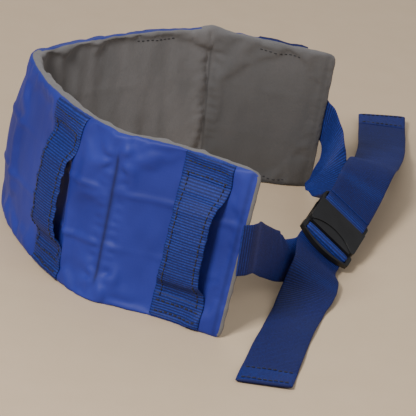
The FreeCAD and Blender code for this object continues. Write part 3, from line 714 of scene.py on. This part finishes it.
def make_handle(handle, surface, phase):
    """The upper and lower halves of a handle and their stitching, each running from the panel to the grip."""
    strip = handle_strip(handle, surface, phase)
    grip = handle + "_grip"
    middle = strip.length / 2
    near, far = TAB_LENGTH, TAB_LENGTH + BOW_LENGTH
    halves = (("lower", 0.0, middle, near, far, 1),
              ("upper", middle, strip.length, strip.length - near, strip.length - far, -1))
    for part, start, end, hold, loose, way in halves:
        webbing = strip.piece(f"{handle}_{part}_webbing", start, end)
        sewn_end = 0 if part == "lower" else strip.length - TAB_RISE[handle]
        spots = []
        for inset in TAB_ROWS:
            spots += row_across(strip, sewn_end + way * inset)
        spots += row_behind(strip, sewn_end + way * TAB_ROWS[0], surface)
        for across in (-0.74, 0.74):
            spots += row_along(strip, max(start, 18 * MM), min(end, strip.length - 18 * MM), across)
        thread = stitch_piece(f"{handle}_{part}_thread", spots, length=3.6 * MM, radius=0.62 * MM)
        for piece in (webbing, thread):
            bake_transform(piece)
        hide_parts(f"{handle}_{part}_end", grip)
        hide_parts(handle + "_stitching")
        dress(webbing, "webbing")
        dress(thread, "black_thread")


# ---------------------------------------------------------------- straps

HEM_LENGTH = 29 * MM
HEM_ROWS = (4 * MM, 26 * MM)


def make_front_strap():
    """The strap from the front end to the male half, in two pieces, one at either end."""
    strip = cad_strip("front_strap", lead=5 * MM)
    strip.centres[:, 2] += 8 * MM * (1 - smoothstep(strip.at, 10 * MM, 75 * MM))
    to_tail = strip.length - strip.at
    # painted shade: darker along the strap's first part and darkest where it runs into the buckle
    strip.webbing_shade += 0.5 * smoothstep(to_tail, 55 * MM, 75 * MM) + 1 - smoothstep(to_tail, 2 * MM, 14 * MM)
    cut = 0.42 * strip.length
    near = strip.piece("front_strap_near", 0, cut)
    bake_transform(near)
    far = strip.piece("front_strap_far", cut, strip.length)
    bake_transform(far)
    for piece in (near, far):
        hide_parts("front_strap")
        dress(piece, "webbing")


def make_back_strap():
    """The strap from the back end to the housing."""
    strip = cad_strip("back_strap", lead=5 * MM)
    # painted shade: darkest where the strap runs into the housing
    strip.webbing_shade += 1 - smoothstep(strip.length - strip.at, 2 * MM, 15 * MM)
    piece = strip.piece("back_strap_webbing")
    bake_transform(piece)
    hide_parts("back_strap")
    dress(piece, "webbing")


def make_tail(name, lead, sway):
    """A free strap end with a folded, stitched hem."""
    strip = cad_strip(name, lead=lead)
    from_end = strip.length - strip.at
    strip.thickness += VISUAL_THICKNESS * 0.9 * (1 - smoothstep(from_end, HEM_LENGTH, HEM_LENGTH + 0.8 * MM))
    # painted shade: the whole tail painted darker, less so on the hem
    strip.webbing_shade += 1 - 0.55 * (1 - smoothstep(from_end, HEM_LENGTH - 1 * MM, HEM_LENGTH))
    # painted highlight: a lighter band across the tail where it bends down from the buckle
    strip.webbing_shade -= 0.5 * bell(strip.at - 42 * MM, 8 * MM)
    free = smoothstep(strip.at, 20 * MM, 70 * MM)
    wave = np.sin(2 * np.pi * strip.at / (61 * MM) + sway) * free
    strip.lift += 0.8 * MM * wave[:, None] * STRIP_ACROSS[None, :]
    up = np.sign(strip.normals[-1][2])
    strip.lift += up * (0.9 * MM * free * (1 - smoothstep(from_end, 0, HEM_LENGTH)) + 0.7 * MM)[:, None]
    webbing = strip.piece(name + "_webbing")
    spots = []
    for inset in HEM_ROWS:
        spots += row_across(strip, strip.length - inset, side=up)
    thread = stitch_piece(name + "_thread", spots, length=3.8 * MM, radius=0.6 * MM)
    for piece in (webbing, thread):
        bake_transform(piece)
    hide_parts(name)
    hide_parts(name.replace("tail", "hem_stitching"))
    dress(webbing, "webbing")
    dress(thread, "black_thread")


# ---------------------------------------------------------------- padding pieces and their stitching

def surface_spots(surface, s, z, side, direction_step):
    """Stitch spots on one face of the pad, found by looking in from outside."""
    middle, out, _ = belt_surface(np.asarray(s), np.asarray(z))
    ahead = belt_surface(np.asarray(s) + direction_step[0], np.asarray(z) + direction_step[1])[0]
    spots = []
    for point, normal, towards in zip(middle, out * side, ahead):
        hit = surface.ray_cast(Vector(point + normal * 30 * MM), Vector(-normal), 60 * MM)
        if hit[0]:
            facing = unit(np.array(hit[1]))
            line = towards - point
            line = unit(line - facing * (line @ facing))
            spots.append((np.array(hit[0]) + facing * STITCH_RISE, line, facing))
    return spots


def make_pad_stitching(surface):
    """Both quilting seams and both closing rows, on the outside and on the lining."""
    pitch = 4.6 * MM
    seam_z = np.arange(SEAM_LOW, SEAM_HIGH, pitch)
    rows = (("front_seam_thread", FRONT_SEAM, seam_z, "root", "front_seam_thread"),
            ("back_seam_thread", BACK_SEAM, seam_z, "root", "back_seam_thread"))
    step = (0, MM)
    for name, s, z, body, node in rows:
        spots = []
        for side in (1, -1):
            spots += surface_spots(surface, np.full(len(z), s), z, side, step)
        thread = stitch_piece(name + "_stitches", spots, length=4 * MM, radius=0.75 * MM)
        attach(thread, body)
        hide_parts(node)
        dress(thread, "black_thread")
    end_z = np.arange(END_STITCH_INSET, HEIGHT - END_STITCH_INSET, pitch)
    for name, s, body in (("front_end_stitching", END_STITCH_INSET, "front_wing"),
                          ("back_end_stitching", BELT_LENGTH - END_STITCH_INSET, "back_wing")):
        spots = []
        for side in (1, -1):
            spots += surface_spots(surface, np.full(len(end_z), s), end_z, side, step)
        thread = stitch_piece(name + "_stitches", spots, radius=0.6 * MM)
        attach(thread, body)
        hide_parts(name)
        dress(thread, "black_thread")


def make_cloth(pad):
    """Cuts the pad's skin into its four cloth pieces, hides the CAD layers they stand in for and gives them
    their materials.
    """
    bodies = {"front": ("front_wing", FRONT_SEAM), "back": ("back_wing", BACK_SEAM)}
    layers = {"cover": ("cover", "foam"), "lining": ("lining", "core_strap")}
    for tag, name in enumerate(CLOTH_PIECES):
        piece = cut_cloth(pad, tag, name)
        layer, half = name.split("_")
        wing, seam = bodies[half]
        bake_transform(piece)
        for part in layers[layer]:
            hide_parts(f"{wing}_{part}", f"centre_{part}")
        dress(piece, "nylon_cover" if layer == "cover" else "velour_lining")


# ---------------------------------------------------------------- materials

class Shader:
    """A small helper to lay out a node material."""

    def __init__(self, name, roughness):
        self.material = bpy.data.materials.new(name)
        self.material.use_nodes = True
        self.tree = self.material.node_tree
        self.surface = next(n for n in self.tree.nodes if n.type == "BSDF_PRINCIPLED")
        self.surface.inputs["Roughness"].default_value = roughness
        self.place = self.add("ShaderNodeTexCoord").outputs["Object"]

    def add(self, kind, **values):
        node = self.tree.nodes.new(kind)
        for key, value in values.items():
            if key in node.inputs:
                node.inputs[key].default_value = value
            else:
                setattr(node, key, value)
        return node

    def link(self, source, target):
        self.tree.links.new(source, target)

    def noise(self, scale, detail=3.0, stretch=(1, 1, 1)):
        mapping = self.add("ShaderNodeMapping")
        mapping.inputs["Scale"].default_value = stretch
        self.link(self.place, mapping.inputs["Vector"])
        texture = self.add("ShaderNodeTexNoise", Scale=scale, Detail=detail)
        self.link(mapping.outputs["Vector"], texture.inputs["Vector"])
        return texture.outputs["Fac"]

    def value(self, name):
        return self.add("ShaderNodeAttribute", attribute_name=name).outputs["Fac"]

    def math(self, operation, first, second):
        node = self.add("ShaderNodeMath", operation=operation)
        for slot, source in enumerate((first, second)):
            if isinstance(source, (int, float)):
                node.inputs[slot].default_value = source
            else:
                self.link(source, node.inputs[slot])
        return node.outputs[0]

    def spread(self, source, low, high):
        """A noise value stretched so that low becomes 0 and high becomes 1."""
        node = self.add("ShaderNodeMapRange")
        node.inputs["From Min"].default_value = low
        node.inputs["From Max"].default_value = high
        self.link(source, node.inputs["Value"])
        return node.outputs["Result"]

    def mix(self, factor, first, second):
        node = self.add("ShaderNodeMix", data_type="RGBA")
        self.link(factor, node.inputs[0])
        for slot, source in ((6, first), (7, second)):
            if isinstance(source, tuple):
                node.inputs[slot].default_value = source
            else:
                self.link(source, node.inputs[slot])
        return node.outputs[2]

    def color(self, source):
        self.link(source, self.surface.inputs["Base Color"])

    def bump(self, height, strength, distance):
        node = self.add("ShaderNodeBump", Strength=strength, Distance=distance)
        self.link(height, node.inputs["Height"])
        self.link(node.outputs["Normal"], self.surface.inputs["Normal"])

    def sheen(self, weight, tint, roughness=0.5):
        self.surface.inputs["Sheen Weight"].default_value = weight
        self.surface.inputs["Sheen Tint"].default_value = tint
        self.surface.inputs["Sheen Roughness"].default_value = roughness


def rgb(red, green, blue):
    """A display colour, 0 to 255 for each part, as the linear colour the shaders take."""
    parts = [part / 255 for part in (red, green, blue)]
    linear = [part / 12.92 if part <= 0.04045 else ((part + 0.055) / 1.055) ** 2.4 for part in parts]
    return (*linear, 1.0)


def weave(shader, pitch):
    """Height of a plain weave: two crossed sets of fine threads."""
    heights = []
    for direction in ("Z", "X"):
        wave = shader.add("ShaderNodeTexWave", Scale=0.05 / pitch, bands_direction=direction)
        wave.inputs["Distortion"].default_value = 0.6
        wave.inputs["Detail"].default_value = 1.0
        shader.link(shader.place, wave.inputs["Vector"])
        heights.append(wave.outputs["Fac"])
    return shader.math("MULTIPLY", heights[0], heights[1])


def nylon_cover():
    shader = Shader("nylon_cover", 0.58)
    shader.surface.inputs["Specular IOR Level"].default_value = 0.3
    patches = shader.spread(shader.noise(14, 4), 0.35, 0.65)
    fabric = shader.mix(patches, rgb(30, 39, 125), rgb(40, 51, 145))
    # painted highlight: the cover lighter and greyer towards its rolled rims
    rim_highlight = shader.mix(shader.math("MULTIPLY", shader.value("edge"), 0.3), fabric, rgb(62, 72, 120))
    # painted shade: the cover darker in the seam grooves
    shader.color(shader.mix(shader.math("MULTIPLY", shader.value("seam"), 0.75), rim_highlight, rgb(8, 14, 48)))
    threads = weave(shader, 0.45 * MM)
    grain = shader.math("ADD", shader.math("MULTIPLY", threads, 0.4), shader.noise(420, 3))
    shader.bump(grain, 0.22, 0.3 * MM)
    shader.sheen(0.03, rgb(120, 150, 240))
    return shader.material


def velour_lining():
    shader = Shader("velour_lining", 0.95)
    brushed = shader.spread(shader.noise(38, 6, (1, 1, 0.45)), 0.3, 0.72)
    pile = shader.mix(brushed, rgb(96, 94, 94), rgb(112, 109, 109))
    fuzz = shader.noise(1500, 3)
    pile = shader.mix(shader.math("MULTIPLY", shader.spread(fuzz, 0.3, 0.7), 0.35), pile, rgb(78, 76, 77))
    # painted shade on the lining's back part and its painted shadow band along the bottom
    pile = shader.mix(shader.value("lining_shade"), pile, rgb(46, 46, 48))
    # painted highlight: the lining lighter towards its rolled rims
    pile = shader.mix(shader.math("MULTIPLY", shader.value("edge"), 0.5), pile, rgb(102, 100, 102))
    # painted shade: the lining darker in the seam grooves
    shader.color(shader.mix(shader.math("MULTIPLY", shader.value("seam"), 0.6), pile, rgb(40, 39, 40)))
    shader.bump(shader.math("ADD", fuzz, shader.noise(260, 4)), 0.6, 0.5 * MM)
    shader.sheen(0.25, rgb(190, 186, 184), 0.7)
    return shader.material


def webbing():
    shader = Shader("webbing", 0.65)
    shader.surface.inputs["Specular IOR Level"].default_value = 0.3
    twill = shader.noise(700, 2)
    ribs = shader.math("MULTIPLY", shader.value("rib"), shader.spread(twill, 0.1, 0.75))
    fabric = shader.mix(ribs, rgb(9, 17, 70), rgb(40, 66, 168))
    # painted shade: a darker copy of the webbing colours, mixed in where the painted shade attribute is high
    webbing_shade = shader.mix(ribs, rgb(4, 8, 50), rgb(27, 44, 132))
    fabric = shader.mix(shader.value("webbing_shade"), fabric, webbing_shade)
    patches = shader.spread(shader.noise(20, 3), 0.4, 0.7)
    shader.color(shader.mix(shader.math("MULTIPLY", patches, 0.25), fabric, rgb(8, 15, 68)))
    shader.bump(twill, 0.5, 0.25 * MM)
    shader.sheen(0.06, rgb(44, 68, 156))
    return shader.material


def black_thread():
    shader = Shader("black_thread", 0.7)
    shader.color(shader.mix(shader.noise(400, 2), rgb(14, 14, 17), rgb(42, 42, 48)))
    shader.bump(shader.noise(1800, 1), 0.5, 0.2 * MM)
    return shader.material


def buckle_plastic():
    shader = Shader("buckle_plastic", 0.42)
    shader.color(shader.mix(shader.spread(shader.noise(60, 4), 0.35, 0.7), rgb(14, 14, 15), rgb(24, 24, 26)))
    shader.bump(shader.noise(1200, 3), 0.25, 0.12 * MM)
    rough = shader.math("ADD", shader.math("MULTIPLY", shader.noise(90, 4), 0.25), 0.3)
    shader.link(rough, shader.surface.inputs["Roughness"])
    return shader.material


LOOKS = {
    "nylon_cover": nylon_cover(),
    "velour_lining": velour_lining(),
    "webbing": webbing(),
    "black_thread": black_thread(),
    "buckle_plastic": buckle_plastic(),
}


def dress(piece, look):
    """Gives a piece its material."""
    piece.data.materials.clear()
    piece.data.materials.append(LOOKS[look])


# ---------------------------------------------------------------- buckle

BUCKLE_PIECES = ("female_housing", "male_frame", "left_prong", "right_prong")


def finish_buckle():
    """Rounds the edges of the moulded CAD pieces and gives them their plastic."""
    for name in BUCKLE_PIECES:
        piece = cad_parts[name]
        dress(piece, "buckle_plastic")
        weld = piece.modifiers.new("weld", "WELD")
        weld.merge_threshold = 0.01 * MM
        bevel = piece.modifiers.new("bevel", "BEVEL")
        bevel.width = 0.7 * MM
        bevel.segments = 3
        bevel.limit_method = "ANGLE"
        bevel.angle_limit = math.radians(35)
        bevel.use_clamp_overlap = True
        bevel.harden_normals = False
        piece.modifiers.new("normals", "WEIGHTED_NORMAL").keep_sharp = True


# ---------------------------------------------------------------- stage, light and camera

def make_floor():
    bpy.ops.mesh.primitive_plane_add(size=8, location=(0.19, 0.06, 0))
    floor = bpy.context.object
    floor.name = "floor"
    shader = Shader("floor", 0.85)
    shader.color(shader.mix(shader.noise(30, 3), rgb(204, 180, 150), rgb(210, 187, 158)))
    floor.data.materials.append(shader.material)


def area_light(name, place, target, size, power, tint=(1, 1, 1)):
    light = bpy.data.lights.new(name, "AREA")
    light.size = size
    light.energy = power
    light.color = tint
    lamp = bpy.data.objects.new(name, light)
    bpy.context.scene.collection.objects.link(lamp)
    lamp.location = place
    lamp.rotation_euler = (Vector(target) - Vector(place)).to_track_quat("-Z", "Y").to_euler()


def make_lights():
    """A small key light from the front left, a fill, a light from behind and an even sky."""
    centre = (0.18, 0.05, 0.05)
    area_light("key_light", (-0.75, -1.5, 1.7), centre, 0.6, 56, (1, 0.985, 0.96))
    area_light("fill_light", (1.5, -0.9, 1.2), centre, 1.6, 8)
    area_light("back_light", (0.2, 1.6, 1.7), centre, 1.4, 10)
    world = bpy.data.worlds.new("world")
    world.use_nodes = True
    background = next(n for n in world.node_tree.nodes if n.type == "BACKGROUND")
    background.inputs["Color"].default_value = (0.95, 0.96, 1, 1)
    background.inputs["Strength"].default_value = 0.33
    bpy.context.scene.world = world


CAMERA_AIM = Vector((0.188, 0.060, 0))
CAMERA_DISTANCE = 2.768
CAMERA_ELEVATION = math.radians(24.36)
CAMERA_ROLL = math.radians(8.48)
CAMERA_LENS = 245.2           # mm on a 36 mm sensor


def make_camera():
    """A long lens that looks down along +Y, tilted about its own axis."""
    look = Vector((0, math.cos(CAMERA_ELEVATION), -math.sin(CAMERA_ELEVATION)))
    level_up = Vector((0, math.sin(CAMERA_ELEVATION), math.cos(CAMERA_ELEVATION)))
    level_right = Vector((1, 0, 0))
    right = level_right * math.cos(CAMERA_ROLL) + level_up * math.sin(CAMERA_ROLL)
    up = level_up * math.cos(CAMERA_ROLL) - level_right * math.sin(CAMERA_ROLL)
    data = bpy.data.cameras.new("camera")
    data.sensor_width = 36
    data.lens = CAMERA_LENS
    camera = bpy.data.objects.new("camera", data)
    bpy.context.scene.collection.objects.link(camera)
    turn = Matrix((right, up, -look)).transposed().to_4x4()
    camera.matrix_world = Matrix.Translation(CAMERA_AIM - look * CAMERA_DISTANCE) @ turn
    bpy.context.scene.camera = camera


# ---------------------------------------------------------------- build

pad = make_pad()
corners = [tuple(point) for point in vertex_points(pad)]
surface = BVHTree.FromPolygons(corners, [tuple(face.vertices) for face in pad.data.polygons])
make_cloth(pad)
make_pad_stitching(surface)
for index, handle in enumerate(HANDLES):
    make_handle(handle, surface, 1.7 * index)
make_front_strap()
make_back_strap()
make_tail("front_tail", 0.8 * MM, 0.4)
make_tail("back_tail", 0.8 * MM, 2.1)
finish_buckle()
bpy.data.objects.remove(pad)
make_floor()
make_lights()
make_camera()
